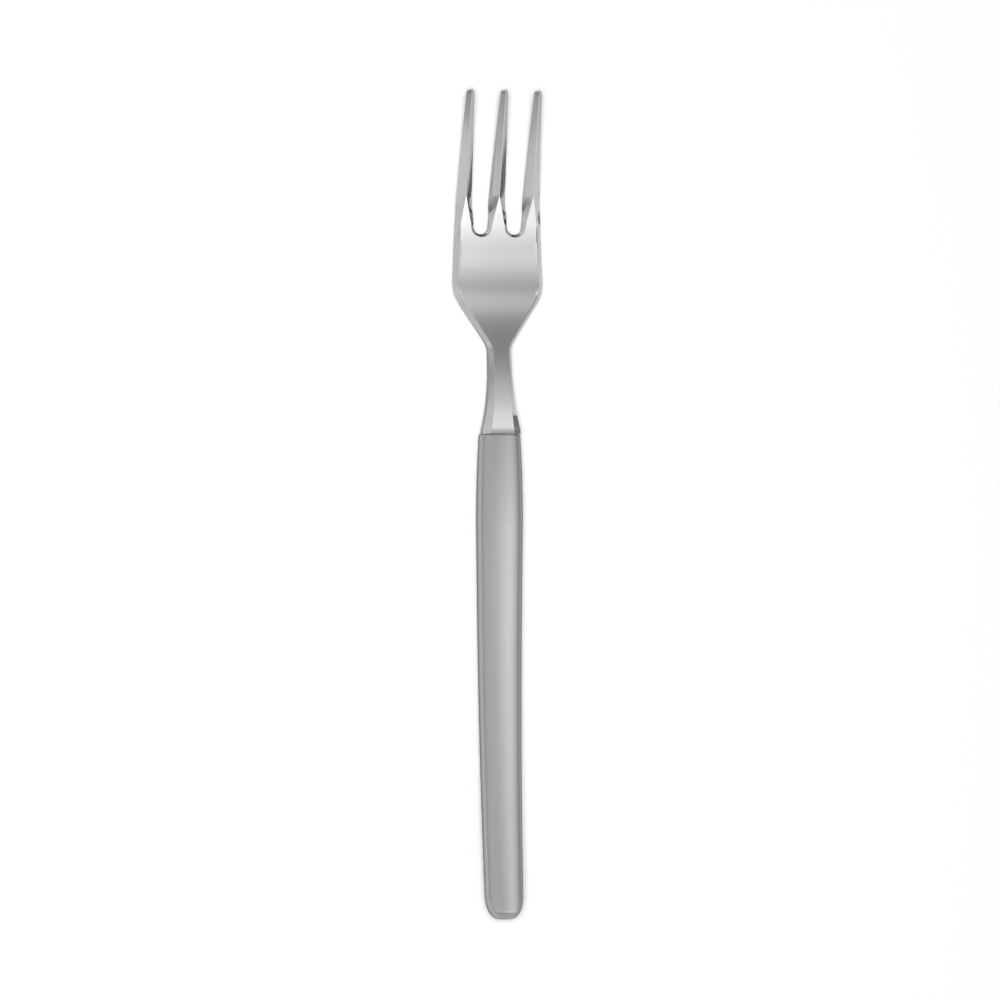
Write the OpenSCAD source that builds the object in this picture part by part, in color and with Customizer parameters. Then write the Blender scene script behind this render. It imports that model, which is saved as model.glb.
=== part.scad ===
// Cocktail fork: a polished three-tined head whose tang is cemented into a satin hollow handle.
// The fork lies face up on its back. X is its width, +Y runs from the butt to the tips, +Z is up.
// The origin is on the table under the middle of the fork's box.

/* [Tines] */
// Depth of the slots between the tines, from the tips
tine_l = 26; // [20:0.5:32]
// Distance between the middles of neighbouring tines
tine_pitch = 6.4; // [5.8:0.1:7.2]
// Width of each slot at its round bottom
slot_w = 2.9; // [2:0.1:3.4]
// Width of a tine at its tip
tine_tip_w = 1.5; // [1:0.1:2]
// Depth of a tine, front to back, where its ridge starts
tine_t = 2; // [1.6:0.1:3.6]
// Depth of a tine, front to back, at its tip
tine_tip_t = 1.1; // [0.8:0.1:1.5]
// Width of the narrow flat along a tine's front ridge
ridge_w = 0.1; // [0.1:0.05:0.6]
// Length over which the flat front of the bowl runs out into the ridges
runout_l = 5.5; // [4:0.5:14]
// Length of the rounding at a tine's tip
tip_round = 0.8; // [0.3:0.1:1.5]
// Slope of the tines above the table, in degrees
tine_lift = 12.5; // [6:0.5:20]

/* [Bowl] */
// Length of the bowl, from the end of the neck to the bottoms of the slots
bowl_l = 20.4; // [17:0.1:28]
// Greatest width of the bowl
bowl_w = 17.3; // [16.2:0.1:20]
// Length over which the shoulders widen from the neck to the bowl
shoulder_l = 9.6; // [7:0.1:13]
// Softness of the bowl's corners
corner_round = 2.2; // [0.5:0.1:4]
// Softness of the inside curve between neck and shoulders
throat_round = 1.2; // [0.5:0.1:4]
// Thickness of the bowl at its lowest point
bowl_t = 2.0; // [1.5:0.1:2.6]
// How much thinner the bowl is at its sides
side_thinning = 0.5; // [0:0.1:0.8]
// How far the bowl's sides stand above its middle
dish = 0.4; // [0:0.1:1]
// Height of the faint wave across the bowl, between its corners
wave_h = 0.14; // [0:0.02:0.3]
// Length of that wave
wave_l = 5.4; // [4:0.2:8]
// Width of the bevel round the outside of the bowl
edge_bevel = 0.85; // [0.5:0.05:1.4]
// Width of the bevel along the edges of the slots
slot_round = 0.5; // [0.2:0.05:0.8]
// Distance of the bowl's lowest point below the bottoms of the slots
bed_back = 4; // [1:0.5:7]
// Length over which the bowl bends up into the tines
lift_l = 14; // [8:0.5:22]

/* [Neck] */
// Length of the neck, from its rim to the start of the shoulders
neck_l = 14.7; // [12:0.1:22]
// Distance of the neck's narrowest place from its rim
waist_l = 11.1; // [8:0.1:11.5]
// Width of the neck at its narrowest
neck_w = 4.2; // [3.6:0.1:6]
// Width of the neck at its rim
rim_w = 7; // [6.2:0.1:7.2]
// Thickness of the neck at its rim
rim_t = 4; // [3.4:0.1:4.4]
// Width of the bevel along the neck's waist
waist_bevel = 0.6; // [0.3:0.05:1.2]
// Width of the bevel along the neck's rim
rim_bevel = 1.4; // [0.6:0.1:1.8]

/* [Handle] */
// Length of the handle
handle_l = 87.7; // [76:0.1:110]
// Greatest width of the handle
handle_w = 8.6; // [7.8:0.1:11]
// Greatest thickness of the handle
handle_t = 5.6; // [5:0.1:7.5]
// Width of the handle at its mouth
mouth_w = 7.65; // [7:0.05:9]
// Thickness of the handle at its mouth
mouth_t = 4.6; // [4.6:0.1:6.5]
// Distance of the widest place from the mouth
swell_l = 16; // [10:0.5:24]
// Width that the handle tapers to at its butt
butt_w = 7; // [6:0.1:9]
// Thickness that the handle tapers to at its butt
butt_t = 4.6; // [4:0.1:6]
// Length of the rounding of the butt, seen from above
butt_round = 5; // [3:0.5:10]
// Length of the bevel on the butt's front and back
butt_bevel = 1.3; // [0.8:0.1:2.5]
// Wall of the two handle shells
wall = 0.7; // [0.5:0.05:1]
// Length of the stretch that curves up towards the butt
bow_l = 58; // [30:1:60]
// Radius of that curve
bow_r = 540; // [300:10:2000]

/* [Joint] */
// Length of the collar that sits on the handle's mouth
collar_l = 1.2; // [0.4:0.1:2]
// How far the collar's thin end stands out from the neck's rim
collar_lip = 0.05; // [0.05:0.05:0.15]
// How far the collar's thick end, on the handle's mouth, stands out from the neck's rim
collar_step = 0.2; // [0.15:0.05:0.3]
// Depth to which the head's plug sits in the handle
plug_l = 4; // [2:0.5:8]
// Clearance between the plug and the handle's wall
plug_gap = 0.05; // [0.02:0.01:0.15]
// Length of the tang below the plug
tang_l = 24; // [16:1:32]
// Width of the tang where it leaves the plug
tang_w = 3.4; // [2.4:0.1:4.4]
// Thickness of the tang where it leaves the plug
tang_t = 2; // [1.4:0.1:2.8]
// Share of its section that the tang keeps at its end
tang_taper = 0.7; // [0.5:0.05:1]
// Depth of cement past the end of the tang
cement_cover = 4; // [2:0.5:8]

/* [Hidden] */

// Places along the fork, measured from the butt
mouth_at = handle_l;
rim_at = mouth_at + collar_l;
waist_at = rim_at + waist_l;
bowl_at = rim_at + neck_l;
corner_at = bowl_at + shoulder_l;
slot_at = bowl_at + bowl_l;
slot_r = slot_w / 2;
root_at = slot_at + slot_r;
ridge_at = root_at + runout_l;
bed_at = slot_at - bed_back;
tip_at = slot_at + tine_l;
plug_at = mouth_at - plug_l;
tang_at = plug_at - tang_l;
cement_at = tang_at - cement_cover;
swell_at = mouth_at - swell_l;

// Half widths at the roots and tips of the tines
slot_x = tine_pitch / 2;
root_half = slot_x - slot_r;
tip_half = tine_tip_w / 2;

// Roundness of the sections: 2 is an ellipse, more is squarer, less is nearer to a roof
handle_square = 2.3;
butt_square = 2;
tang_square = 5;
back_square = 2;
collar_square = 2;
bevel_square = 1.1;
// Share of the depth that lies above a free edge, on the neck's rim, the bowl and the tines
rim_edge_level = 0.2;
bowl_edge_level = 0.5;
tine_edge_level = 0.84;
// Share of the section that is left as a flat on the tips, and of the width and thickness on the butt
tip_flat = 0.55;
butt_flat = 0.3;
butt_thin = 0.35;

// Number of steps along each stretch
neck_steps = 9;
shoulder_steps = 9;
bowl_steps = 7;
runout_steps = 6;
tine_steps = 7;
tip_steps = 4;
slot_steps = 8;
handle_steps = 12;
bevel_steps = 3;
butt_steps = 5;
mouth_steps = 3;
round_steps = 16;

// Shares of a flank's width at which lines run, from the front flat to the free edge
flank_lines = [0, 0.4, 0.75, 1];
// Distances from a slot's edge at which rows run, so that its bevel is smooth
rim_rows = [1, 0.6, 0.3, 0.1, 0];

function ease(t) = let (c = min(max(t, 0), 1)) c * c * c * (10 - 15 * c + 6 * c * c);

// Height gained along a run whose slope eases from 0 to 1
function bend(t) = t <= 0 ? 0 : t < 1 ? t * t * t * t * (2.5 - 3 * t + t * t) : t - 0.5;

function mix(a, b, t) = a + (b - a) * t;

// The larger and the smaller of two lines, with a soft corner of the given size
function soft_max(a, b, size) = max(a, b) + pow(max(size - abs(a - b), 0) / size, 3) * size / 6;
function soft_min(a, b, size) = -soft_max(-a, -b, size);

// Height of a rounded edge at a share of its width, from 0 at the edge to 1 at the flat
function rounded(share, square) =
    let (c = min(max(1 - share, 0), 1)) pow(max(1 - pow(c, square), 0), 1 / square);

// Share of the way from the neck's waist down to its rim
function flare(v) = pow(min(max((waist_at - v) / waist_l, 0), 1), 2);

// Half width of the head's outline
function side_line(v) =
    mix(bowl_w / 2, tine_pitch + tip_half, (v - corner_at) / (tip_at - corner_at));
function shoulder_line(v) = mix(neck_w / 2, bowl_w / 2, (v - bowl_at) / shoulder_l);
function neck_line(v) = mix(neck_w, rim_w, flare(v)) / 2;
function head_half(v) =
    soft_max(neck_line(v), soft_min(side_line(v), shoulder_line(v), corner_round), throat_round);

// Width of the bevel along the head's outline
function head_bevel(v) =
    v < waist_at
        ? mix(waist_bevel, rim_bevel, flare(v))
        : mix(waist_bevel, edge_bevel, ease((v - waist_at) / (corner_at - waist_at)));

// Share of the depth above the outline's edge, which sinks from the neck's rim to the bowl's corners
function edge_level(v) =
    mix(rim_edge_level, bowl_edge_level, ease((v - rim_at) / (corner_at - rim_at)));

// Share of the way from the neck's rim down to the bowl's lowest point
function dip(v) = ease((v - rim_at) / (bed_at - rim_at));

// Thickness of the head along its middle
function head_t(v) =
    v < bed_at ? mix(rim_t, bowl_t, dip(v))
    : v < ridge_at ? mix(bowl_t, tine_t, ease((v - bed_at) / (ridge_at - bed_at)))
    : mix(tine_t, tine_tip_t, (v - ridge_at) / (tip_at - ridge_at));

// Height of the fork's middle surface, before it is set down on the table
axis_z = handle_t / 2;
function free_z(v) =
    v < bow_l
        ? axis_z + pow(bow_l - v, 2) / (2 * bow_r)
        : axis_z
            - (axis_z - bowl_t / 2) * dip(v)
            + wave_h * exp(-pow(2 * (v - corner_at) / wave_l, 2))
            + tan(tine_lift) * lift_l * bend((v - bed_at) / lift_l);
settle = max([for (v = [bed_at : 0.25 : ridge_at]) head_t(v) / 2 - free_z(v)]);
function spine_z(v) = free_z(v) + max(settle, 0);

function place(x, v, z) = [x, v - tip_at / 2, z];

// Front and back of the head at a point, from the shares of the edge bevels that it lies at
function side_share(x, v) =
    pow(x / head_half(v), 2)
    * ease((v - waist_at) / shoulder_l)
    * (1 - ease((v - root_at) / (tip_at - root_at)));
function head_point(x, v, front_share, back_share, level, keep, is_front) =
    let (
        spread = side_share(x, v),
        depth = (head_t(v) - side_thinning * spread) * keep,
        middle = spine_z(v) + (dish + side_thinning / 2) * spread,
        edge_z = middle + depth * (0.5 - level),
        front_z = edge_z + depth * level * rounded(front_share, bevel_square),
        back_z = edge_z - depth * (1 - level) * rounded(back_share, back_square)
    )
    place(x, v, front_share <= 0 ? edge_z : is_front ? front_z : back_z);

// Lines across one tine, from its left edge to its right edge, about its middle
function tine_lines(left_flat, left_flank, right_flat, right_flank) = concat(
    [for (i = [len(flank_lines) - 1 : -1 : 0]) -left_flat - left_flank * flank_lines[i]],
    [0],
    [for (share = flank_lines) right_flat + right_flank * share]
);
function slot_lines() = [for (i = [1 : slot_steps - 1]) -slot_r * cos(180 * i / slot_steps)];

// Lines across the whole bowl, and how far each one reaches: up to a tine's root or to a slot's edge
function shifted(lines, by) = [for (x = lines) x + by];
function bowl_lines(v) =
    let (
        bevel = head_bevel(v),
        flat = root_half - slot_round,
        outer_flat = head_half(v) - bevel - tine_pitch
    )
    concat(
        shifted(tine_lines(outer_flat, bevel, flat, slot_round), -tine_pitch),
        shifted(slot_lines(), -slot_x),
        tine_lines(flat, slot_round, flat, slot_round),
        shifted(slot_lines(), slot_x),
        shifted(tine_lines(flat, slot_round, outer_flat, bevel), tine_pitch)
    );
tine_count = 2 * len(flank_lines) + 1;
line_count = 3 * tine_count + 2 * (slot_steps - 1);
slot_reach = [for (i = [1 : slot_steps - 1]) root_at - slot_r * sin(180 * i / slot_steps)];
tine_reach = [for (i = [1 : tine_count]) root_at];
reach = concat(tine_reach, slot_reach, tine_reach, slot_reach, tine_reach);

// Lines narrow with the outline below the bowl's corners, and the bevel keeps its own width
function head_x(k, v) =
    v >= corner_at
        ? bowl_lines(v)[k]
        : let (
            x = bowl_lines(corner_at)[k],
            flat = head_half(corner_at) - head_bevel(corner_at),
            own_flat = head_half(v) - head_bevel(v)
        )
        abs(x) <= flat
            ? x * own_flat / flat
            : sign(x) * (own_flat + (abs(x) - flat) * head_bevel(v) / head_bevel(corner_at));

// Distance of a point of the bowl from the round bottom of the nearer slot
function slot_distance(x, v) = norm([abs(x) - slot_x, root_at - v]) - slot_r;

function bowl_row(v, share, is_front) = [
    for (k = [0 : line_count - 1])
        let (
            own_v = v < corner_at ? v : mix(corner_at, reach[k], share),
            x = head_x(k, own_v),
            on_edge = k == 0 || k == line_count - 1,
            outer = on_edge ? 0 : (head_half(own_v) - abs(x)) / head_bevel(own_v),
            on_slot = share == 1 && abs(slot_distance(x, own_v)) < slot_round / 50,
            inner = on_slot ? 0 : slot_distance(x, own_v) / slot_round,
            near = min(outer, inner)
        )
        head_point(x, own_v, near, near, edge_level(own_v), 1, is_front)
];

// Tines: the front flat narrows to a ridge, the flanks widen and the free edge sinks
function tine_half(v) = mix(root_half, tip_half, (v - root_at) / (tip_at - root_at));
function tip_keep(v) =
    let (t = (v - tip_at + tip_round) / tip_round)
    t <= 0 ? 1 : sqrt(1 - pow(t, 2) * (1 - pow(tip_flat, 2)));
function tine_row(v, side, is_front) =
    let (
        run = (v - root_at) / runout_l,
        eased = ease(run),
        keep = tip_keep(v),
        half = tine_half(v) * keep,
        outer_half = (side_line(v) - tine_pitch) * keep,
        flat = max(mix(root_half - slot_round, ridge_w / 2, run), ridge_w / 2) * keep,
        outer_root = head_half(root_at) - tine_pitch - edge_bevel,
        outer_flat = max(mix(outer_root, ridge_w / 2, run), ridge_w / 2) * keep,
        left_half = side < 0 ? outer_half : half,
        right_half = side > 0 ? outer_half : half,
        left_flat = side < 0 ? outer_flat : flat,
        right_flat = side > 0 ? outer_flat : flat,
        lines = tine_lines(left_flat, left_half - left_flat, right_flat, right_half - right_flat)
    )
    [
        for (k = [0 : tine_count - 1])
            let (
                x = lines[k],
                on_edge = k == 0 || k == tine_count - 1,
                own_half = x < 0 ? left_half : right_half,
                own_flat = x < 0 ? left_flat : right_flat,
                from_edge = on_edge ? 0 : own_half - abs(x),
                back_round = mix(own_half - own_flat, own_half, eased)
            )
            head_point(
                x + side * tine_pitch,
                v,
                from_edge / (own_half - own_flat),
                from_edge / back_round,
                mix(bowl_edge_level, tine_edge_level, eased),
                keep,
                is_front
            )
    ];

// Sections that are closed ovals: half width and half thickness at a place along the fork
function oval_z(share, half_t, square) = half_t * pow(max(1 - pow(abs(share), square), 0), 1 / square);
function oval_row(v, half_w, half_t, square, is_front) = [
    for (k = [0 : line_count - 1])
        let (
            share = head_x(k, rim_at) / head_half(rim_at),
            up = k == 0 || k == line_count - 1 ? 0 : oval_z(share, half_t, square)
        )
        place(share * half_w, v, spine_z(v) + (is_front ? up : -up))
];

// Handle sections, with the butt's rounding
function butt_cap(v) = mix(butt_flat, 1, rounded(v / butt_round, butt_square));
function butt_cap_t(v) = mix(butt_thin, 1, min(v / butt_bevel, 1));
function handle_size(v, mouth, most, butt) =
    v > swell_at
        ? mix(most, mouth, pow((v - swell_at) / swell_l, 2))
        : mix(butt, most, v / swell_at);
function handle_half(v, inset) =
    (handle_size(v, mouth_w, handle_w, butt_w) / 2 - inset) * butt_cap(v);
function handle_half_t(v, inset) =
    (handle_size(v, mouth_t, handle_t, butt_t) / 2 - inset) * butt_cap_t(v);

plug_half = handle_half(mouth_at, wall) - plug_gap;
plug_half_t = handle_half_t(mouth_at, wall) - plug_gap;

// Triangles between two rows of points, which may have different numbers of points
function strip_faces(a, a_count, b, b_count, turned) = [
    for (i = [0 : a_count - 2])
        let (
            from = round(i * (b_count - 1) / (a_count - 1)),
            to = round((i + 1) * (b_count - 1) / (a_count - 1)),
            faces = concat(
                [[a + i, b + from, a + i + 1]],
                [for (j = [from : 1 : to - 1]) [a + i + 1, b + j, b + j + 1]]
            )
        )
        each turned ? [for (f = faces) [f[0], f[2], f[1]]] : faces
];

// A closed solid from grids, each [rows of points, turned], which meet at equal points
module sheet_solid(grids) {
    rows = [for (g = grids) each g[0]];
    starts = [for (i = 0, n = 0; i < len(rows); n = n + len(rows[i]), i = i + 1) n];
    firsts = [for (i = 0, n = 0; i < len(grids); n = n + len(grids[i][0]), i = i + 1) n];
    polyhedron(
        points = [for (row = rows) each row],
        faces = [
            for (i = [0 : len(grids) - 1], j = [firsts[i] : firsts[i] + len(grids[i][0]) - 2])
                each strip_faces(starts[j], len(rows[j]), starts[j + 1], len(rows[j + 1]), grids[i][1])
        ]
    );
}

function steps(from, to, count) = [for (i = [0 : count - 1]) mix(from, to, i / count)];

// The collar has the section of the neck's rim, a step larger, with round shoulders in place of bevels
function collar_row(v, step, is_front) = [
    for (p = bowl_row(rim_at, 0, is_front))
        let (
            share = (rim_w / 2 - abs(p[0])) / rim_bevel,
            rise = rim_edge_level * rounded(share, collar_square),
            on_edge = share < 0.001,
            up = is_front && !on_edge ? rim_t * (0.5 - rim_edge_level + rise) : p[2] - spine_z(rim_at)
        )
        place(p[0] * (1 + 2 * step / rim_w), v, spine_z(v) + up * (1 + 2 * step / rim_t))
];

// Head, from the end of the tang to the slots and then along each tine
function tang_rows(is_front) = [
    oval_row(tang_at, tang_w / 2 * tang_taper, tang_t / 2 * tang_taper, tang_square, is_front),
    oval_row(plug_at, tang_w / 2, tang_t / 2, tang_square, is_front)
];
function head_rows(is_front) = concat(
    tang_rows(is_front),
    [for (v = [plug_at, mouth_at]) oval_row(v, plug_half, plug_half_t, handle_square, is_front)],
    [collar_row(mouth_at, collar_step, is_front), collar_row(rim_at, collar_lip, is_front)],
    [for (v = steps(rim_at, waist_at, neck_steps)) bowl_row(v, 0, is_front)],
    [for (v = steps(waist_at, corner_at, shoulder_steps)) bowl_row(v, 0, is_front)],
    [for (share = steps(0, 1 - slot_round / (slot_at - corner_at), bowl_steps))
        bowl_row(corner_at, share, is_front)],
    [for (near = rim_rows)
        bowl_row(corner_at, 1 - near * slot_round / (slot_at - corner_at), is_front)]
);

// The first row of each tine is its stretch of the bowl's last row
tine_places = concat(
    [for (i = [1 : runout_steps]) mix(root_at, ridge_at, i / runout_steps)],
    [for (i = [1 : tine_steps]) mix(ridge_at, tip_at - tip_round, i / tine_steps)],
    [for (i = [1 : tip_steps]) mix(tip_at - tip_round, tip_at, sin(90 * i / tip_steps))]
);
function tine_rows(side, last_row, is_front) =
    let (first = (side + 1) * (tine_count + slot_steps - 1))
    concat(
        [[for (k = [first : first + tine_count - 1]) last_row[k]]],
        [for (v = tine_places) tine_row(v, side, is_front)]
    );

module fork_head() {
    front = head_rows(true);
    back = head_rows(false);
    tang_end = [[back[0], front[0]], false];
    tines = [
        for (side = [-1 : 1])
            let (
                top = tine_rows(side, front[len(front) - 1], true),
                low = tine_rows(side, back[len(back) - 1], false),
                last = len(top) - 1
            )
            each [[top, false], [low, true], [[top[last], low[last]], false]]
    ];
    color("gainsboro")
        sheet_solid(concat([[front, false], [back, true], tang_end], tines));
}

// Places of the sections along the handle, with rows at the ends of the cement and of the plug
handle_places = concat(
    steps(0, butt_bevel, bevel_steps),
    steps(butt_bevel, butt_round, butt_steps),
    steps(butt_round, cement_at, handle_steps),
    steps(cement_at, plug_at, handle_steps),
    steps(plug_at, mouth_at, mouth_steps),
    [mouth_at]
);
cement_places = concat(steps(cement_at, plug_at, handle_steps), [plug_at]);

// Half of a handle section, from the left seam to the right seam, inset by the wall or not at all
function half_ring(v, inset, up) =
    let (
        own_v = v + inset * max(0, 1 - v / butt_round),
        half_w = handle_half(v, inset),
        half_t = handle_half_t(v, inset)
    )
    [
        for (i = [0 : round_steps])
            let (
                angle = 180 * (1 - i / round_steps),
                c = i == round_steps / 2 ? 0 : cos(angle),
                s = i == 0 || i == round_steps ? 0 : sin(angle),
                x = half_w * sign(c) * pow(abs(c), 2 / handle_square),
                z = half_t * pow(s, 2 / handle_square)
            )
            place(x, own_v, spine_z(own_v) + up * z)
    ];

// One stamped half of the handle: outside, inside, mouth, butt and the two seams
module half_shell(up) {
    outside = [for (v = handle_places) half_ring(v, 0, up)];
    inside = [for (v = handle_places) half_ring(v, wall, up)];
    last = len(handle_places) - 1;
    n = round_steps;
    low = up < 0;
    mouth = low ? [inside[last], outside[last]] : [outside[last], inside[last]];
    sheet_solid([
        [outside, low],
        [inside, !low],
        [mouth, false],
        [[[for (i = [1 : n]) outside[0][i]], [outside[0][0]]], !low],
        [[[for (i = [1 : n]) inside[0][i]], [inside[0][0]]], low],
        [[for (j = [0 : last]) [outside[j][0], inside[j][0]]], !low],
        [[for (j = [0 : last]) [inside[j][n], outside[j][n]]], !low],
        [[[outside[0][0], outside[0][n]], [inside[0][0], inside[0][n]]], !low]
    ]);
}

module handle_front_shell() {
    color("darkgray")
        half_shell(1);
}

module handle_back_shell() {
    color("gray")
        half_shell(-1);
}

// Cement fills the handle round the tang, from the plug to a little past the tang's end
module tang_cement() {
    front = [for (v = cement_places) half_ring(v, wall, 1)];
    back = [for (v = cement_places) half_ring(v, wall, -1)];
    last = len(cement_places) - 1;
    tang_front = tang_rows(true);
    tang_back = tang_rows(false);
    color("tan")
        sheet_solid([
            [front, false],
            [back, true],
            [[back[0], front[0]], false],
            [tang_front, true],
            [tang_back, false],
            [[tang_front[0], tang_back[0]], false],
            [[front[last], tang_front[1]], false],
            [[tang_back[1], back[last]], false]
        ]);
}

fork_head();
handle_front_shell();
handle_back_shell();
tang_cement();
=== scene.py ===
"""Cocktail fork on a white table.

A mirror-polished forged head is cemented into a satin hollow handle.
"""

import bpy
import numpy as np
from mathutils import Matrix, Vector


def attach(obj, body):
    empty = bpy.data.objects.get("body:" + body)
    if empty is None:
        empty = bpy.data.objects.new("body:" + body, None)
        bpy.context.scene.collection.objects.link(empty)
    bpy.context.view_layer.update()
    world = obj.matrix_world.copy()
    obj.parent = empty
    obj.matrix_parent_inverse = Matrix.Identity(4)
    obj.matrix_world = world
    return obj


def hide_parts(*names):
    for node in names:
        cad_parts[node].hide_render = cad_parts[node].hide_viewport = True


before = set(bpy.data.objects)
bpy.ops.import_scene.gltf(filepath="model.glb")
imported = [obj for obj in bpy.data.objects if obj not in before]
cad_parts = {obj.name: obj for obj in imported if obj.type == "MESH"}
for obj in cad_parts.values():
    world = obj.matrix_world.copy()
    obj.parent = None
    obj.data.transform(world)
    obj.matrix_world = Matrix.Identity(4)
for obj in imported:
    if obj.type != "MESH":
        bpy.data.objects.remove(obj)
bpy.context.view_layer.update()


# Fork head. One stainless forging: three tines, a shallow bowl, a waisted neck and the plug and
# tang that sit inside the handle. It is ground, so each tine has a roof-like front that runs out
# into the flat of the bowl, and then mirror polished with fine compound.

# Lengths along the fork, in mm
HANDLE_L = 87.7
COLLAR_L = 1.2
NECK_L = 14.7
WAIST_L = 11.1
BOWL_L = 20.4
SHOULDER_L = 9.6
BED_L = 4.0
TINE_L = 26.0
RUNOUT_L = 5.5
LIFT_L = 14.0
PLUG_L = 4.0
TANG_L = 24.0

# Widths and radii, in mm, and the share of a tine's size that is left at its tip
BOWL_HALF = 8.65
NECK_HALF = 2.1
RIM_HALF = 3.5
TINE_PITCH = 6.4
TIP_HALF = 0.75
RIDGE_HALF = 0.015
SLOT_R = 1.45
CORNER_ROUND = 2.2
THROAT_ROUND = 1.2
TIP_ROUND = 0.8
TIP_FLAT = 0.55

# Thicknesses and heights, in mm, with the bow of the handle and the lift of the tines
HANDLE_T = 5.6
RIM_T = 4.0
BOWL_T = 2.0
TINE_T = 2.0
TIP_T = 1.1
DISH = 0.3
THINNING = 0.5
WAVE_H = 0.14
WAVE_L = 5.4
BOW_L = 58.0
BOW_R = 540.0
TINE_LIFT = np.radians(12.5)

# Bevels: widths in mm, the share of the depth above their edges, and how soft their inner edges are
EDGE_BEVEL = 0.85
WAIST_BEVEL = 0.6
RIM_BEVEL = 1.4
SLOT_BEVEL = 0.5
RIM_LEVEL = 0.2
BOWL_LEVEL = 0.5
SLOT_LEVEL = 0.25
TINE_LEVEL = 0.84
BEVEL_SOFT = 0.02
RIDGE_SOFT = 0.015

# The collar's spread past the neck's rim, the handle's mouth, and the plug and tang in it, in mm
COLLAR_START = 0.07
COLLAR_FLARE = 0.18
COLLAR_SEAT = 0.04
MOUTH_W = 7.65
MOUTH_T = 4.6
WALL = 0.7
PLUG_GAP = 0.05
TANG_HALF = 1.7
TANG_HALF_T = 1.0

# Share of its size that the tang keeps at its end, and exponents of the sections, where 2 is an ellipse
TANG_TAPER = 0.7
TANG_SQUARE = 5.0
HANDLE_SQUARE = 2.3

MM_PER_M = 1000

# Places along the fork, in mm from the butt of the handle
RIM_AT = HANDLE_L + COLLAR_L
WAIST_AT = RIM_AT + WAIST_L
BOWL_AT = RIM_AT + NECK_L
CORNER_AT = BOWL_AT + SHOULDER_L
SLOT_AT = BOWL_AT + BOWL_L
BED_AT = SLOT_AT - BED_L
ROOT_AT = SLOT_AT + SLOT_R
RIDGE_AT = ROOT_AT + RUNOUT_L
TIP_AT = SLOT_AT + TINE_L
PLUG_AT = HANDLE_L - PLUG_L
TANG_AT = PLUG_AT - TANG_L

SLOT_X = TINE_PITCH / 2
ROOT_HALF = SLOT_X - SLOT_R
ROOT_FLAT = ROOT_HALF - SLOT_BEVEL
PLUG_HALF = MOUTH_W / 2 - WALL - PLUG_GAP
PLUG_HALF_T = MOUTH_T / 2 - WALL - PLUG_GAP


def mix(a, b, t):
    """The value at share t of the way from a to b."""
    return a + (b - a) * t


def ease(t):
    """Smooth step from 0 to 1 whose slope and curvature are 0 at both ends."""
    c = np.clip(t, 0, 1)
    return c**3 * (10 - 15 * c + 6 * c**2)


def bend(t):
    """Height gained along a run whose slope eases from 0 to 1: the integral of the smooth step."""
    c = np.clip(t, 0, 1)
    return c**4 * (2.5 - 3 * c + c**2) + np.maximum(t - 1, 0)


def soft_max(a, b, size):
    """The larger of two lines, with a cubic blend of the given size where they cross."""
    return np.maximum(a, b) + (np.maximum(size - abs(a - b), 0) / size) ** 3 * size / 6


def rounded(share):
    """Height of a quarter circle at a share of its width, 0 at the edge and 1 at the flat."""
    return np.sqrt(1 - np.clip(1 - share, 0, 1) ** 2)


def facet(share, soft):
    """Height of a ground bevel at a share of its width: a straight slope with a soft inner edge."""
    return -soft_max(-share, -1.0, soft)


def flare(v):
    """Share of the way from the neck's waist down to its rim, squared."""
    return np.clip((WAIST_AT - v) / WAIST_L, 0, 1) ** 2


def dip(v):
    """Share of the way from the neck's rim down to the bowl's lowest point."""
    return ease((v - RIM_AT) / (BED_AT - RIM_AT))


def to_corner(v):
    """Share of the way from the neck's waist to the bowl's corners."""
    return ease((v - WAIST_AT) / (CORNER_AT - WAIST_AT))


def side_line(v):
    """Straight line of the outside from the bowl's corner to the tip of the outer tine."""
    return mix(BOWL_HALF, TINE_PITCH + TIP_HALF, (v - CORNER_AT) / (TIP_AT - CORNER_AT))


def head_half(v):
    """Half width of the head: the neck's curve, sloped shoulders and straight sides, blended."""
    neck = mix(NECK_HALF, RIM_HALF, flare(v))
    shoulder = mix(NECK_HALF, BOWL_HALF, (v - BOWL_AT) / SHOULDER_L)
    bowl = -soft_max(-side_line(v), -shoulder, CORNER_ROUND)
    return soft_max(neck, bowl, THROAT_ROUND)


def head_bevel(v):
    """Width of the bevel along the outline, from the neck's rim over its waist to the bowl."""
    low = mix(WAIST_BEVEL, RIM_BEVEL, flare(v))
    high = mix(WAIST_BEVEL, EDGE_BEVEL, to_corner(v))
    return np.where(v < WAIST_AT, low, high)


def edge_level(v):
    """Share of the depth above the outline's edge, which sinks from waist to bowl corners."""
    return mix(RIM_LEVEL, BOWL_LEVEL, to_corner(v))


def head_t(v):
    """Thickness along the middle: rim to bowl, bowl to the tines' ridges, ridges to the tips."""
    low = mix(RIM_T, BOWL_T, dip(v))
    root = mix(BOWL_T, TINE_T, ease((v - BED_AT) / (RIDGE_AT - BED_AT)))
    tip = mix(TINE_T, TIP_T, (v - RIDGE_AT) / (TIP_AT - RIDGE_AT))
    return np.where(v < BED_AT, low, np.where(v < RIDGE_AT, root, tip))


def free_z(v):
    """Height of the middle surface before the fork is set down.

    It adds the handle's bow, the dip to the bowl, one wave across the bowl and the tines' rise.
    """
    bow = np.maximum(BOW_L - v, 0) ** 2 / (2 * BOW_R)
    wave = WAVE_H * np.exp(-((2 * (v - CORNER_AT) / WAVE_L) ** 2))
    rise = np.tan(TINE_LIFT) * LIFT_L * bend((v - BED_AT) / LIFT_L)
    return HANDLE_T / 2 + bow - (HANDLE_T - BOWL_T) / 2 * dip(v) + wave + rise


underside = np.linspace(BED_AT, RIDGE_AT, num=90)
SETTLE = max(0.0, float(np.max(head_t(underside) / 2 - free_z(underside))))


def spine_z(v):
    """Height of the middle surface, raised so that the back of the bowl clears the table."""
    return SETTLE + free_z(v)


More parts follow.
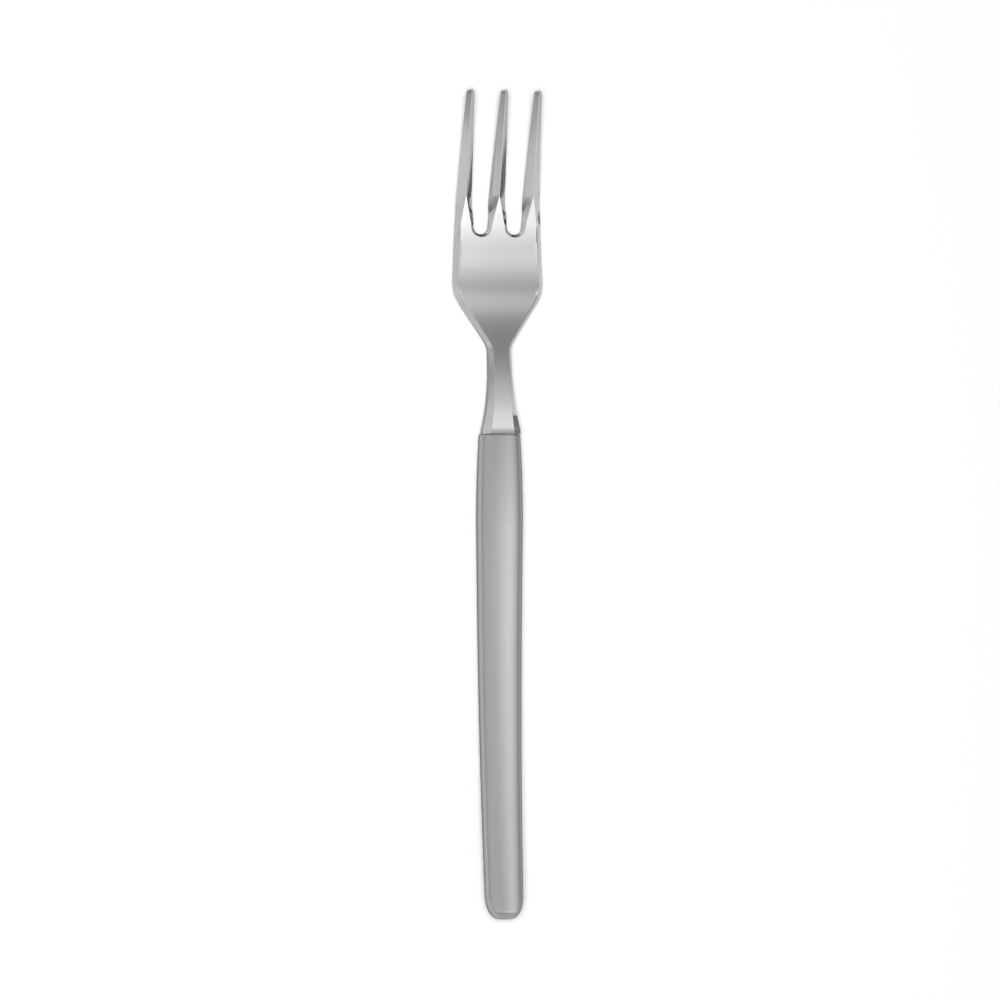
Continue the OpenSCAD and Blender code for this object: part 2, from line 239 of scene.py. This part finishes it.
def head_point(x, v, front_share, back_share, level, soft, keep, up):
    """Front or back of the head: a dished middle surface plus the bevel's share of the depth."""
    fade = ease((v - WAIST_AT) / SHOULDER_L) * (1 - ease((v - ROOT_AT) / (TIP_AT - ROOT_AT)))
    hollow = DISH * (x / side_line(v)) ** 2 * fade
    thinned = THINNING * (x / head_half(v)) ** 2 * fade
    depth = (head_t(v) - thinned) * keep
    edge_z = spine_z(v) + hollow + thinned / 2 + depth * (0.5 - level)
    front_z = depth * level * facet(front_share, soft)
    back_z = -depth * (1 - level) * rounded(back_share)
    z = edge_z + (front_z if up else back_z)
    return np.stack(np.broadcast_arrays(x, v, z), axis=-1)


# Lines of the grids: shares of a flank's width, shares of half the front flat, steps round a slot
FLANK = np.array([0, 0.03, 0.07, 0.12, 0.18, 0.28, 0.42, 0.58, 0.74, 0.88, 0.97, 1.0])
INSIDE = np.array([0.33, 0.66, 0.97])
SLOT_STEPS = 32

# The last row's points that are this close to a slot, in mm, lie on its edge
TOUCHING = 1e-6


def tine_offsets(left_flat, left_half, right_flat, right_half):
    """Lines across a tine: over the left flank, across the front flat and down the right flank."""
    left_flat, left_half, right_flat, right_half = [
        np.asarray(w, float)[..., None] for w in (left_flat, left_half, right_flat, right_half)
    ]
    left = -left_flat - (left_half - left_flat) * FLANK[::-1]
    right = right_flat + (right_half - right_flat) * FLANK
    inside = [-left_flat * INSIDE[::-1], 0 * left_flat, right_flat * INSIDE]
    return np.concatenate([left, *inside, right], axis=-1)


def bowl_grid(v, share, up):
    """Bowl and neck: lines follow the outline and end on the round slots, rows run across them."""
    inner = tine_offsets(ROOT_FLAT, ROOT_HALF, ROOT_FLAT, ROOT_HALF)
    turn = np.pi * np.arange(1, SLOT_STEPS) / SLOT_STEPS
    slot = -SLOT_R * np.cos(turn)
    reach_slot = ROOT_AT - SLOT_R * np.sin(turn)
    reach_tine = np.full(len(inner), ROOT_AT)
    reach = np.concatenate([reach_tine, reach_slot, reach_tine, reach_slot, reach_tine])
    base = np.concatenate(
        [inner - TINE_PITCH, slot - SLOT_X, inner, slot + SLOT_X, inner + TINE_PITCH]
    )
    flank = np.full(len(base), -1.0)
    flank[: len(FLANK)] = FLANK[::-1]
    flank[-len(FLANK) :] = FLANK
    bowl_v = mix(CORNER_AT, reach[None], share[:, None])
    v = np.where(v[:, None] < CORNER_AT, v[:, None], bowl_v)
    half, bevel = head_half(v), head_bevel(v)
    corner_flat = float(head_half(CORNER_AT) - head_bevel(np.array(CORNER_AT)))
    scale = np.where(v < CORNER_AT, (half - bevel) / corner_flat, 1.0)
    x = np.where(flank >= 0, np.sign(base) * (half - bevel + bevel * flank), base * scale)
    outer = (half - abs(x)) / bevel
    to_slot = np.hypot(abs(x) - SLOT_X, ROOT_AT - v) - SLOT_R
    near = np.maximum(np.minimum(outer, to_slot / SLOT_BEVEL), 0)
    near[:, [0, -1]] = 0
    near[(share == 1)[:, None] & (abs(to_slot) < TOUCHING)] = 0
    level = np.where(outer < to_slot / SLOT_BEVEL, edge_level(v), SLOT_LEVEL)
    return head_point(x, v, near, near, level, BEVEL_SOFT, 1.0, up)


def tine_grid(v, side, up):
    """One tine: the flat front narrows to a ridge while its flanks widen and its free edge sinks."""
    run = (v - ROOT_AT) / RUNOUT_L
    eased = ease(run)
    tip = np.clip((v - TIP_AT + TIP_ROUND) / TIP_ROUND, 0, 1)
    keep = np.sqrt(1 - tip**2 * (1 - TIP_FLAT**2))
    half = mix(ROOT_HALF, TIP_HALF, (v - ROOT_AT) / (TIP_AT - ROOT_AT)) * keep
    outer_half = (side_line(v) - TINE_PITCH) * keep
    flat = np.maximum(mix(ROOT_FLAT, RIDGE_HALF, run), RIDGE_HALF) * keep
    outer_root = head_half(np.array(ROOT_AT)) - TINE_PITCH - EDGE_BEVEL
    outer_flat = np.maximum(mix(outer_root, RIDGE_HALF, run), RIDGE_HALF) * keep
    left = (outer_flat, outer_half) if side < 0 else (flat, half)
    right = (outer_flat, outer_half) if side > 0 else (flat, half)
    x = tine_offsets(*left, *right)
    own_flat = np.where(x < 0, left[0][:, None], right[0][:, None])
    own_half = np.where(x < 0, left[1][:, None], right[1][:, None])
    from_edge = np.maximum(own_half - abs(x), 0)
    from_edge[:, [0, -1]] = 0
    front_share = from_edge / (own_half - own_flat)
    back_share = from_edge / mix(own_half - own_flat, own_half, eased[:, None])
    root_level = np.where(x * side > 0, BOWL_LEVEL, SLOT_LEVEL)
    level = mix(root_level, TINE_LEVEL, eased[:, None])
    soft = mix(BEVEL_SOFT, RIDGE_SOFT, eased)[:, None]
    x = x + side * TINE_PITCH
    return head_point(x, v[:, None], front_share, back_share, level, soft, keep[:, None], up)


def oval_row(share, v, half_w, half_t, square, up):
    """Half of an oval section: x spread by the given shares, z from the superellipse."""
    z = half_t * np.maximum(1 - abs(share) ** square, 0) ** (1 / square)
    x = share * half_w
    return np.stack(np.broadcast_arrays(x, v, spine_z(np.array(v)) + up * z), axis=-1)


def closed_mesh(name, grids, sharp_deg):
    """Mesh from grids of points, each with a flag that turns its faces, welded where points agree.

    A quad with two corners on one point becomes a triangle. Points in mm from the butt become
    metres from the middle of the fork.
    """
    points = np.concatenate([grid.reshape(-1, 3) for grid, _ in grids])
    points = (points - [0, TIP_AT / 2, 0]) / MM_PER_M
    faces, start = [], 0
    for grid, turned in grids:
        rows, columns = grid.shape[:2]
        i = start + np.arange(rows * columns).reshape(rows, columns)
        corners = [i[:-1, :-1], i[:-1, 1:], i[1:, 1:], i[1:, :-1]]
        quad = np.stack(corners, axis=-1).reshape(-1, 4)
        faces.append(quad[:, ::-1] if turned else quad)
        start += rows * columns
    _, first, welded = np.unique(
        np.round(points, decimals=7), axis=0, return_index=True, return_inverse=True
    )
    faces = welded.reshape(-1)[np.concatenate(faces)]
    doubled = faces == np.roll(faces, -1, axis=1)
    poles = doubled.sum(axis=1) == 1
    quads = faces[~doubled.any(axis=1)]
    triangles = faces[poles][~doubled[poles]].reshape(-1, 3)
    mesh = bpy.data.meshes.new(name)
    mesh.from_pydata(points[first].tolist(), [], quads.tolist() + triangles.tolist())
    mesh.validate()
    mesh.shade_smooth()
    mesh.set_sharp_from_angle(angle=np.radians(sharp_deg))
    piece = bpy.data.objects.new(name, mesh)
    bpy.context.collection.objects.link(piece)
    return piece


# Rows along the head, which lie closer together in the last stretch before the slots
FINE_L = 1.2
FINE_POWER = 1.4
fine = FINE_L / (SLOT_AT - CORNER_AT)
neck_v = np.linspace(RIM_AT, CORNER_AT, num=110)[:-1]
bowl_share = np.concatenate(
    [np.linspace(0, 1 - fine, num=40)[:-1], 1 - fine * np.linspace(1, 0, num=28) ** FINE_POWER]
)
head_v = np.concatenate([neck_v, np.full(len(bowl_share), CORNER_AT)])
head_share = np.concatenate([np.zeros(len(neck_v)), bowl_share])
tine_v = np.concatenate(
    [
        np.linspace(ROOT_AT, RIDGE_AT, num=49)[:-1],
        np.linspace(RIDGE_AT, TIP_AT - TIP_ROUND, num=41)[:-1],
        TIP_AT - TIP_ROUND + TIP_ROUND * np.sin(np.linspace(0, np.pi / 2, num=10)),
    ]
)
front = bowl_grid(head_v, head_share, True)
back = bowl_grid(head_v, head_share, False)

# Tang, plug and collar carry the lines of the neck's rim down into the handle
rim_x = front[0, :, 0]
rim_share = rim_x / rim_x[-1]
oval_rows = [
    (TANG_AT, TANG_TAPER * TANG_HALF, TANG_TAPER * TANG_HALF_T, TANG_SQUARE),
    (PLUG_AT, TANG_HALF, TANG_HALF_T, TANG_SQUARE),
    (PLUG_AT, PLUG_HALF, PLUG_HALF_T, HANDLE_SQUARE),
    (HANDLE_L, PLUG_HALF, PLUG_HALF_T, HANDLE_SQUARE),
]

# Each row of the collar is a share of its length below the rim, and the spread there
collar_rows = [(1.0, COLLAR_SEAT)]
collar_rows += [(t, mix(COLLAR_START, COLLAR_FLARE, t**2)) for t in np.linspace(0.9, 0, num=10)]
lower = {}
for up, rim in ((1, front[0]), (-1, back[0])):
    rim_z = rim[:, 2] - spine_z(np.array(RIM_AT))
    rows = [oval_row(rim_share, *oval, up) for oval in oval_rows]
    for t, spread in collar_rows:
        v = RIM_AT - COLLAR_L * t
        x = rim_x * (1 + spread / RIM_HALF)
        z = spine_z(np.array(v)) + rim_z * (1 + 2 * spread / RIM_T)
        rows.append(np.stack(np.broadcast_arrays(x, v, z), axis=-1))
    lower[up] = np.stack(rows)
top = np.concatenate([lower[1], front])
low = np.concatenate([lower[-1], back])
grids = [(top, False), (low, True), (np.stack([low[0], top[0]]), False)]

# Each tine starts on its own lines of the bowl's last row
tine_lines = 2 * (len(FLANK) + len(INSIDE)) + 1
for side in (-1, 0, 1):
    start = (side + 1) * (tine_lines + SLOT_STEPS - 1)
    tine_top = tine_grid(tine_v, side, True)
    tine_low = tine_grid(tine_v, side, False)
    tine_top[0] = top[-1, start : start + tine_lines]
    tine_low[0] = low[-1, start : start + tine_lines]
    tip = np.stack([tine_top[-1], tine_low[-1]])
    grids += [(tine_top, False), (tine_low, True), (tip, False)]
head = closed_mesh("fork_head_polished", grids, sharp_deg=24)


def srgb(code):
    """Linear colour with full alpha from a six-digit sRGB hex code."""
    c = np.array([int(code[i : i + 2], 16) for i in (1, 3, 5)]) / 255
    linear = np.where(c <= 0.04045, c / 12.92, ((c + 0.055) / 1.055) ** 2.4)
    return (*linear.tolist(), 1.0)


def add(tree, kind, values=(), links=(), **settings):
    """Adds a node, sets its properties and socket values, links its inputs and returns it."""
    node = tree.nodes.new(kind)
    for name, value in settings.items():
        setattr(node, name, value)
    for socket, value in dict(values).items():
        node.inputs[socket].default_value = value
    for socket, source in dict(links).items():
        tree.links.new(source, node.inputs[socket])
    return node


def material(name):
    """An empty node material with its output and a Principled shader linked to it."""
    made = bpy.data.materials.new(name)
    made.use_nodes = True
    tree = made.node_tree
    tree.nodes.clear()
    shader = add(tree, "ShaderNodeBsdfPrincipled")
    add(tree, "ShaderNodeOutputMaterial", links={"Surface": shader.outputs["BSDF"]})
    return made, tree, shader


# Mirror polishing gives clear reflections under a faint uneven haze. The compound's swirls are too
# fine to show, so they are drawn coarser, and the tint darkens the steel at grazing angles.
HAZE_MM = 4.0
SWIRL_MM = 0.25
polished, tree, shader = material("Stainless steel, mirror polished")
where = add(tree, "ShaderNodeTexCoord").outputs["Object"]
cloud = add(
    tree, "ShaderNodeTexNoise", {"Scale": MM_PER_M / HAZE_MM, "Detail": 3.0}, {"Vector": where}
)
haze = add(
    tree,
    "ShaderNodeMapRange",
    {"From Min": 0.3, "From Max": 0.7, "To Min": 0.05, "To Max": 0.085},
    {"Value": cloud.outputs["Fac"]},
)
swirl = add(
    tree,
    "ShaderNodeTexNoise",
    {"Scale": MM_PER_M / SWIRL_MM, "Detail": 4.0, "Distortion": 1.5},
    {"Vector": where},
)
lap = add(
    tree,
    "ShaderNodeBump",
    {"Strength": 0.03, "Distance": 0.00002},
    {"Height": swirl.outputs["Fac"]},
)
shader.inputs["Base Color"].default_value = srgb("#C6C6C6")
shader.inputs["Specular Tint"].default_value = srgb("#A0A0A0")
shader.inputs["Metallic"].default_value = 1.0
tree.links.new(haze.outputs["Result"], shader.inputs["Roughness"])
tree.links.new(lap.outputs["Normal"], shader.inputs["Normal"])
head.data.materials.append(polished)
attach(head, "root")
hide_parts("fork_head")


# Front half of the handle. A shell stamped from thin stainless sheet and butt welded to the back
# half along both sides. The weld is ground flush and the whole handle has a fine satin finish.

# Sizes in mm, the share of the section that is left at the butt, and how soft its bevel's edge is
HANDLE_W = 8.6
BUTT_W = 7.0
BUTT_T = 4.6
SWELL_L = 16.0
SWELL_AT = HANDLE_L - SWELL_L
BUTT_ROUND = 4.2
BUTT_BEVEL = 1.3
BUTT_FLAT = 0.35
BUTT_SOFT = 0.16
LIP_L = 0.25
LIP_DROP = 0.16


def handle_size(v, mouth, most, butt):
    """Size along the handle: a straight taper from the butt, then a parabola down to the mouth."""
    swell = mix(most, mouth, ((v - SWELL_AT) / SWELL_L) ** 2)
    return np.where(v > SWELL_AT, swell, mix(butt, most, v / SWELL_AT))


def half_ring(v, inset, up):
    """Half sections of the handle: superellipses from seam to seam, closed in over the round butt."""
    v = v[:, None]
    cap_w = mix(BUTT_FLAT, 1.0, rounded(v / BUTT_ROUND))
    cap_t = mix(BUTT_FLAT, 1.0, facet(v / BUTT_BEVEL, BUTT_SOFT))
    lip = LIP_DROP * (1 - rounded((HANDLE_L - v) / LIP_L)) * (inset == 0)
    half_w = (handle_size(v, MOUTH_W, HANDLE_W, BUTT_W) / 2 - inset - lip) * cap_w
    half_t = (handle_size(v, MOUTH_T, HANDLE_T, BUTT_T) / 2 - inset - lip) * cap_t
    own_v = v + inset * np.maximum(0, 1 - v / BUTT_ROUND)
    angle = np.linspace(np.pi, 0, num=97)[None]
    c, s = np.cos(angle), np.sin(angle)
    s[:, [0, -1]] = 0
    x = half_w * np.sign(c) * abs(c) ** (2 / HANDLE_SQUARE)
    z = spine_z(own_v) + up * half_t * s ** (2 / HANDLE_SQUARE)
    return np.stack(np.broadcast_arrays(x, own_v, z), axis=-1)


def half_shell(name, up):
    """Closed half of the handle: outside, inside, mouth, butt and the two seam faces."""
    v = np.concatenate(
        [
            BUTT_ROUND * (1 - np.cos(np.linspace(0, np.pi / 2, num=49)))[:-1],
            np.linspace(BUTT_ROUND, HANDLE_L - LIP_L, num=120)[:-1],
            HANDLE_L - LIP_L * np.cos(np.linspace(0, np.pi / 2, num=9)),
        ]
    )
    outside, inside = half_ring(v, 0, up), half_ring(v, WALL, up)
    is_back = up < 0
    mouth = np.stack([inside[-1], outside[-1]] if is_back else [outside[-1], inside[-1]])
    middle = outside.shape[1] // 2
    butt_out, butt_in = [
        np.stack([ring[0, : middle + 1], ring[0, : middle - 1 : -1]]) for ring in (outside, inside)
    ]
    seam_left = np.stack([outside[:, 0], inside[:, 0]], axis=1)
    seam_right = np.stack([inside[:, -1], outside[:, -1]], axis=1)
    seam_end = np.stack([outside[0, [0, -1]], inside[0, [0, -1]]])
    grids = [
        (outside, is_back),
        (inside, not is_back),
        (mouth, False),
        (butt_out, not is_back),
        (butt_in, is_back),
        (seam_left, not is_back),
        (seam_right, not is_back),
        (seam_end, not is_back),
    ]
    return closed_mesh(name, grids, sharp_deg=32)


front_shell = half_shell("handle_front_satin", 1)

# Satin brushing along the handle spreads each reflection sideways into a soft band. The real grain
# is too fine to show, so its streaks are drawn coarser.
STREAK_W_MM = 0.08
STREAK_L_MM = 5.0
satin, tree, shader = material("Stainless steel, satin brushed")
where = add(tree, "ShaderNodeTexCoord").outputs["Object"]
streaks = add(
    tree,
    "ShaderNodeMapping",
    {"Scale": (MM_PER_M / STREAK_W_MM, MM_PER_M / STREAK_L_MM, MM_PER_M / STREAK_W_MM)},
    {"Vector": where},
)
grain = add(
    tree,
    "ShaderNodeTexNoise",
    {"Scale": 1.0, "Detail": 5.0},
    {"Vector": streaks.outputs["Vector"]},
)
rough = add(
    tree,
    "ShaderNodeMapRange",
    {"From Min": 0.3, "From Max": 0.7, "To Min": 0.28, "To Max": 0.35},
    {"Value": grain.outputs["Fac"]},
)
brush = add(
    tree,
    "ShaderNodeBump",
    {"Strength": 0.12, "Distance": 0.00002},
    {"Height": grain.outputs["Fac"]},
)
shader.inputs["Base Color"].default_value = srgb("#ACACAC")
shader.inputs["Specular Tint"].default_value = srgb("#7A7A7A")
shader.inputs["Metallic"].default_value = 1.0
tree.links.new(rough.outputs["Result"], shader.inputs["Roughness"])
tree.links.new(brush.outputs["Normal"], shader.inputs["Normal"])
front_shell.data.materials.append(satin)
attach(front_shell, "root")
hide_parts("handle_front_shell")


# Back half of the handle. The same stamping turned over, which faces the table. It is welded to the
# front half before they are brushed, so the two share one satin finish.
back_shell = half_shell("handle_back_satin", -1)
back_shell.data.materials.append(satin)
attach(back_shell, "root")
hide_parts("handle_back_shell")


# Cement round the tang. Poured into the mouth of the handle before the head is pushed home, it is
# out of sight, so the plain CAD filling only gets its sandy grain.

# Poured cement sets dull, speckled by its sand and finely pitted
SAND_MM = 0.6
cement, tree, shader = material("Cutler's cement, poured")
where = add(tree, "ShaderNodeTexCoord").outputs["Object"]
sand = add(
    tree, "ShaderNodeTexNoise", {"Scale": MM_PER_M / SAND_MM, "Detail": 6.0}, {"Vector": where}
)
speckle = add(tree, "ShaderNodeValToRGB", links={"Fac": sand.outputs["Fac"]})
speckle.color_ramp.elements[0].color = srgb("#A3947A")
speckle.color_ramp.elements[1].color = srgb("#CDC2AD")
pits = add(
    tree,
    "ShaderNodeBump",
    {"Strength": 0.4, "Distance": 0.0001},
    {"Height": sand.outputs["Fac"]},
)
shader.inputs["Roughness"].default_value = 0.9
tree.links.new(speckle.outputs["Color"], shader.inputs["Base Color"])
tree.links.new(pits.outputs["Normal"], shader.inputs["Normal"])
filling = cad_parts["tang_cement"]
filling.data.materials.clear()
filling.data.materials.append(cement)


# Table. A plain white paper sweep on which the fork lies, and which keeps its soft shadow. The
# steel mirrors the same white paper that the camera sees.
bpy.ops.mesh.primitive_plane_add(size=6.0)
table = bpy.context.object
table.name = "white_table"

# Matt paper gives an even white without gloss. Its felt is too fine to show, so it is drawn coarser.
FELT_MM = 0.8
paper, tree, shader = material("White paper, matt")
where = add(tree, "ShaderNodeTexCoord").outputs["Object"]
fibre = add(
    tree, "ShaderNodeTexNoise", {"Scale": MM_PER_M / FELT_MM, "Detail": 2.0}, {"Vector": where}
)
felt = add(
    tree,
    "ShaderNodeBump",
    {"Strength": 0.05, "Distance": 0.00005},
    {"Height": fibre.outputs["Fac"]},
)
shader.inputs["Base Color"].default_value = srgb("#FFFFFF")
shader.inputs["Roughness"].default_value = 1.0
shader.inputs["Specular IOR Level"].default_value = 0.0
tree.links.new(felt.outputs["Normal"], shader.inputs["Normal"])
table.data.materials.append(paper)


# Studio light. A white tent that the camera and the steel see, with a small lamp in it that the
# lower handle mirrors. The paper is lit by an even share of the tent's light and by one soft lamp
# behind the camera, which isn't mirrored.

# The tent's brightness by direction: an axis, its ends, and stops that are each a place and a value.
# Across the fork it is brightest to the right of overhead. Along the fork it has a dark band beyond
# the tips, which the neck mirrors. On the left that band is evened out, and the tent dims at the table.
TENT = {
    "across": (
        "X",
        (-1.0, 1.0),
        [
            (-1.0, 0.18), (-0.97, 0.46), (-0.95, 0.5), (-0.74, 0.54), (-0.34, 0.58),
            (0.0, 0.68), (0.31, 0.8), (0.6, 1.0), (0.86, 0.65), (1.0, 0.22),
        ],
    ),
    "along": (
        "Y",
        (-1.0, 1.0),
        [
            (-0.85, 0.3), (-0.5, 0.85), (-0.26, 1.0), (-0.1, 0.99), (0.0, 0.82),
            (0.1, 0.58), (0.2, 0.46), (0.34, 0.24), (0.4, 0.25), (0.55, 0.5),
            (0.75, 0.65), (0.82, 0.6), (0.93, 0.12),
        ],
    ),
    "left": (
        "X",
        (-1.0, 1.0),
        [(-0.97, 0.6), (-0.85, 0.85), (-0.5, 0.75), (-0.3, 0.4), (0.2, 0.0)],
    ),
    "low": ("Z", (-0.1, 0.4), [(-0.1, 0.85), (0.35, 1.0)]),
}

# Strength of the tent, the value that its left side is evened towards, and the paper's even share
TENT_STRENGTH = 2.0
LEFT_EVEN = 0.88
EVEN_SHARE = 0.3

world = bpy.data.worlds.new("Light tent")
world.use_nodes = True
bpy.context.scene.world = world
tree = world.node_tree
tree.nodes.clear()
facing = add(tree, "ShaderNodeTexCoord").outputs["Generated"]
split = add(tree, "ShaderNodeSeparateXYZ", links={"Vector": facing})
tone = {}
for name, (axis, (start, end), stops) in TENT.items():
    share = add(
        tree,
        "ShaderNodeMapRange",
        {"From Min": start, "From Max": end},
        {"Value": split.outputs[axis]},
    )
    ramp = add(tree, "ShaderNodeValToRGB", links={"Fac": share.outputs["Result"]})
    points = ramp.color_ramp.elements
    while len(points) < len(stops):
        points.new(0.5)
    for point, (place, value) in zip(points, stops):
        point.position = (place - start) / (end - start)
        point.color = (value, value, value, 1.0)
    tone[name] = ramp.outputs["Color"]
evened = add(
    tree, "ShaderNodeMix", {"B": LEFT_EVEN}, {"Factor": tone["left"], "A": tone["along"]}
)
tent = add(
    tree,
    "ShaderNodeMath",
    links={0: tone["across"], 1: evened.outputs["Result"]},
    operation="MULTIPLY",
)
tent = add(
    tree, "ShaderNodeMath", links={0: tent.outputs[0], 1: tone["low"]}, operation="MULTIPLY"
)
tent = add(tree, "ShaderNodeMath", {1: TENT_STRENGTH}, {0: tent.outputs[0]}, operation="MULTIPLY")
path = add(tree, "ShaderNodeLightPath")
seen = add(
    tree,
    "ShaderNodeMath",
    links={0: path.outputs["Is Camera Ray"], 1: path.outputs["Is Glossy Ray"]},
    operation="MAXIMUM",
)
seen = add(
    tree,
    "ShaderNodeMath",
    links={0: seen.outputs[0], 1: path.outputs["Is Transmission Ray"]},
    operation="MAXIMUM",
)
strength = add(
    tree, "ShaderNodeMix", {"A": EVEN_SHARE}, {"Factor": seen.outputs[0], "B": tent.outputs[0]}
)
cloth = add(
    tree,
    "ShaderNodeBackground",
    {"Color": srgb("#FFFFFF")},
    {"Strength": strength.outputs["Result"]},
)
add(tree, "ShaderNodeOutputWorld", links={"Surface": cloth.outputs["Background"]})


def disk_lamp(name, size, energy, place, turn):
    """A round area lamp: its diameter and place in m, its power in W, its turns about X, Y and Z."""
    lamp = bpy.data.lights.new(name, "AREA")
    lamp.shape = "DISK"
    lamp.size = size
    lamp.energy = energy
    made = bpy.data.objects.new(name, lamp)
    made.location = place
    made.rotation_euler = turn
    bpy.context.collection.objects.link(made)
    return made


SOFT_AT = (-0.494, 0.0, 1.522)
SOFT_TURN = (0.0, np.arctan2(SOFT_AT[0], SOFT_AT[2]), 0.0)
GLOW_AT = (0.15, -0.07, 0.33)
GLOW_TURN = (-0.12, 0.43, 0.0)
overhead = disk_lamp("overhead_soft", size=0.6, energy=20.0, place=SOFT_AT, turn=SOFT_TURN)
overhead.visible_glossy = False
disk_lamp("handle_glow", size=0.12, energy=0.016, place=GLOW_AT, turn=GLOW_TURN)


# Camera. A long lens above the fork, leaning to its left, so the picture shows a little more of the
# left flanks.
LEAN = np.radians(18.0)
DISTANCE = 1.0075
LOOK_AT = Vector((0.0, 0.0008, 0.0031))
lens = bpy.data.cameras.new("camera")
lens.lens = 200.0
camera = bpy.data.objects.new("camera", lens)
right = Vector((np.cos(LEAN), 0.0, np.sin(LEAN)))
ahead = Vector((0.0, 1.0, 0.0))
away = Vector((-np.sin(LEAN), 0.0, np.cos(LEAN)))
turn = Matrix((right, ahead, away)).transposed()
camera.matrix_world = Matrix.Translation(LOOK_AT + DISTANCE * away) @ turn.to_4x4()
bpy.context.collection.objects.link(camera)
scene = bpy.context.scene
scene.camera = camera
scene.view_settings.view_transform = "Standard"
